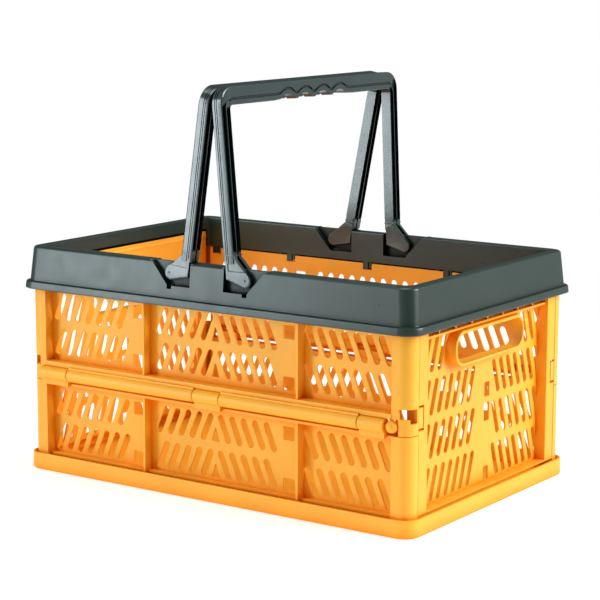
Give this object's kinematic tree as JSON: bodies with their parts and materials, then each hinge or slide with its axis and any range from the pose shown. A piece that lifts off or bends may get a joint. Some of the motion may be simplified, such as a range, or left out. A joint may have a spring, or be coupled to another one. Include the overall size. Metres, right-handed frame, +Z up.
{
  "type": "folding crate",
  "caption": "Rectangular slotted plastic crate with a flat tray base, hinged end panels with grip slots, a deep rim and two bail handles that fold down onto the rim.",
  "frame": {"origin": "centre of the footprint, on the floor under the tray", "axes": "+X along the long side towards the right end panel, +Y towards the rear long side, +Z up"},
  "size_m": [0.42, 0.2764, 0.3581],
  "materials": {
    "yellow_plastic": "fine satin grain, injection moulded",
    "slate_plastic": "satin, slate green",
    "dark_green_plastic": "semi-gloss, near-black green"
  },
  "bodies": {
    "crate": {"base_tray": "yellow_plastic", "front_lower_panel": "yellow_plastic", "front_upper_panel": "yellow_plastic", "front_mid_hinge_pin": "yellow_plastic", "rear_lower_panel": "yellow_plastic", "rear_upper_panel": "yellow_plastic", "rear_mid_hinge_pin": "yellow_plastic", "rim": "slate_plastic"},
    "left_end": {"left_end_panel": "yellow_plastic"},
    "right_end": {"right_end_panel": "yellow_plastic"},
    "left_bail": {"left_handle": "dark_green_plastic"},
    "right_bail": {"right_handle": "dark_green_plastic"}
  },
  "joints": [
    {"name": "left_end_swing", "type": "hinge", "parent": "crate", "child": "left_end", "pos_m": [-0.1934, 0, 0.187], "axis": [0, -1, 0], "range_deg": [0, 88]},
    {"name": "right_end_swing", "type": "hinge", "parent": "crate", "child": "right_end", "pos_m": [0.1934, 0, 0.187], "axis": [0, 1, 0], "range_deg": [0, 88]},
    {"name": "left_handle_fold", "type": "hinge", "parent": "crate", "child": "left_bail", "pos_m": [-0.0398, 0, 0.196], "axis": [0, -1, 0], "range_deg": [0, 99.75]},
    {"name": "right_handle_fold", "type": "hinge", "parent": "crate", "child": "right_bail", "pos_m": [0.0398, 0, 0.196], "axis": [0, 1, 0], "range_deg": [0, 93.75]}
  ]
}
